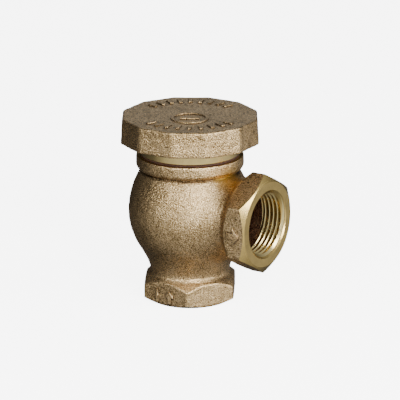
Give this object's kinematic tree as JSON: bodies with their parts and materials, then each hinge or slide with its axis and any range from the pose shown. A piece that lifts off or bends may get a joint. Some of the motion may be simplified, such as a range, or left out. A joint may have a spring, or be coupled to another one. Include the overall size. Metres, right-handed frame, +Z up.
{
  "type": "pressure relief valve",
  "caption": "Angle-pattern bronze pressure relief valve: hexagonal inlet below, tapped hexagonal outlet at the side, bulbous body, brass bonnet and a wide many-sided screwed cap.",
  "frame": {"origin": "centre of the inlet port's face", "axes": "+Z up along the valve's axis from the inlet to the cap, +X out of the outlet port, +Y completes the right-handed frame"},
  "size_m": [0.0614, 0.0528, 0.0726],
  "materials": {
    "cast_bronze": "as-cast sand texture, tan, with machined olive-brass faces",
    "machined_brass": "turned, bright",
    "stainless_steel": "turned",
    "spring_steel": "drawn wire",
    "rubber": "matt black",
    "fibre": "pressed red-brown fibre",
    "copper": "soft annealed copper"
  },
  "bodies": {
    "body": {"valve_body": "cast_bronze", "seat_ring": "machined_brass", "seat_gasket": "copper", "bonnet": "machined_brass", "bonnet_gasket": "fibre", "spring": "spring_steel"},
    "poppet": {"wing_guide": "machined_brass", "disc_washer": "stainless_steel", "seat_disc": "rubber", "disc_holder": "machined_brass", "stem": "stainless_steel", "stem_nut": "stainless_steel", "lower_spring_plate": "stainless_steel"},
    "spring_seat": {"upper_spring_button": "stainless_steel", "thrust_washer": "stainless_steel"},
    "adjuster": {"adjusting_screw": "machined_brass"},
    "washer": {"lock_washer": "stainless_steel"},
    "nut": {"lock_nut": "machined_brass"},
    "cap_seal": {"cap_seal_ring": "rubber"},
    "cap": {"cap": "cast_bronze"}
  },
  "joints": [
    {"name": "disc_lift", "type": "slide", "parent": "body", "child": "poppet", "axis": [0, 0, 1], "range_m": [0, 0.004], "stiffness_N_per_m": 19800, "springref_m": -0.006, "deforming": ["spring"]},
    {"name": "button_travel", "type": "slide", "parent": "body", "child": "spring_seat", "axis": [0, 0, 1], "range_m": [-0.00125, 0.00063], "deforming": ["spring"]},
    {"name": "adjuster_turn", "type": "hinge", "parent": "spring_seat", "child": "adjuster", "pos_m": [0, 0, 0.0572], "axis": [0, 0, 1], "range_deg": [-361, 181]},
    {"name": "washer_lift", "type": "slide", "parent": "body", "child": "washer", "axis": [0, 0, 1], "range_m": [0, 0.00125]},
    {"name": "lock_nut_turn", "type": "hinge", "parent": "washer", "child": "nut", "pos_m": [0, 0, 0.0634], "axis": [0, 0, 1], "range_deg": [0, 361]},
    {"name": "cap_lift", "type": "slide", "parent": "body", "child": "cap_seal", "axis": [0, 0, 1], "range_m": [0, 0.012]},
    {"name": "cap_turn", "type": "hinge", "parent": "cap_seal", "child": "cap", "pos_m": [0, 0, 0.0629], "axis": [0, 0, 1], "range_deg": [0, 2882]}
  ],
  "couplings": [
    {"joint": "adjuster_turn", "follows": "button_travel", "rad_per_m": 5026.5},
    {"joint": "lock_nut_turn", "follows": "washer_lift", "rad_per_m": 5026.5},
    {"joint": "cap_turn", "follows": "cap_lift", "rad_per_m": 4188.8}
  ]
}
